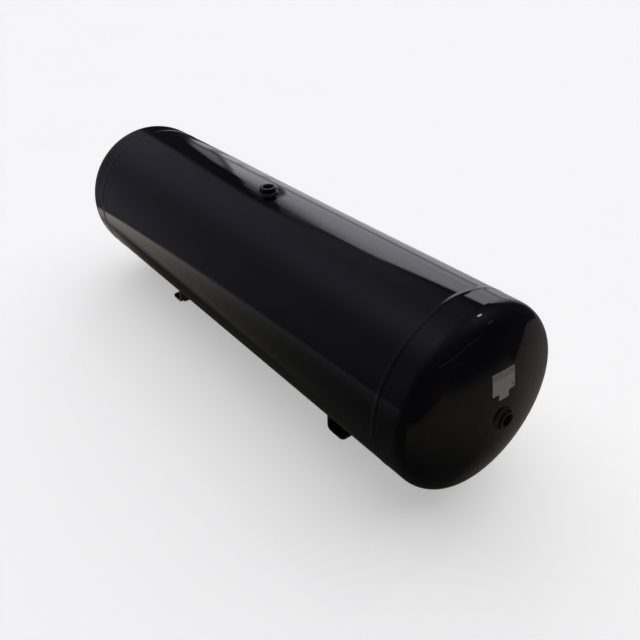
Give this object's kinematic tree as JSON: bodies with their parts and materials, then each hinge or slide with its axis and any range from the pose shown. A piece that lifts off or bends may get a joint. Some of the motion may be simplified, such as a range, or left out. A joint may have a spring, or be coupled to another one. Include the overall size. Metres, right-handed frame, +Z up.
{
  "type": "horizontal pressure tank",
  "caption": "Horizontal welded steel pressure tank: rolled shell with dished heads, threaded ports on top, bottom and both ends, and bent-plate feet to bolt to a floor.",
  "frame": {"origin": "on the floor, under the middle of the tank", "axes": "+X along the tank towards its labelled front end, +Z up through the top port"},
  "size_m": [1.1248, 0.307, 0.3425],
  "materials": {
    "tank_paint": "gloss black",
    "weld_paint": "gloss black over weld beads",
    "port_paint": "gloss black",
    "foot_paint": "gloss black",
    "label": "satin film label, blank"
  },
  "bodies": {
    "root": {"shell": "tank_paint", "shell_seam_weld": "weld_paint", "front_head": "tank_paint", "rear_head": "tank_paint", "front_girth_weld": "weld_paint", "rear_girth_weld": "weld_paint", "top_port": "port_paint", "top_port_weld": "weld_paint", "drain_port": "port_paint", "drain_port_weld": "weld_paint", "front_port": "port_paint", "front_port_weld": "weld_paint", "rear_port": "port_paint", "rear_port_weld": "weld_paint", "front_foot": "foot_paint", "front_foot_inner_weld": "weld_paint", "front_foot_outer_weld": "weld_paint", "rear_foot": "foot_paint", "rear_foot_inner_weld": "weld_paint", "rear_foot_outer_weld": "weld_paint", "rating_label": "label"}
  },
  "joints": []
}
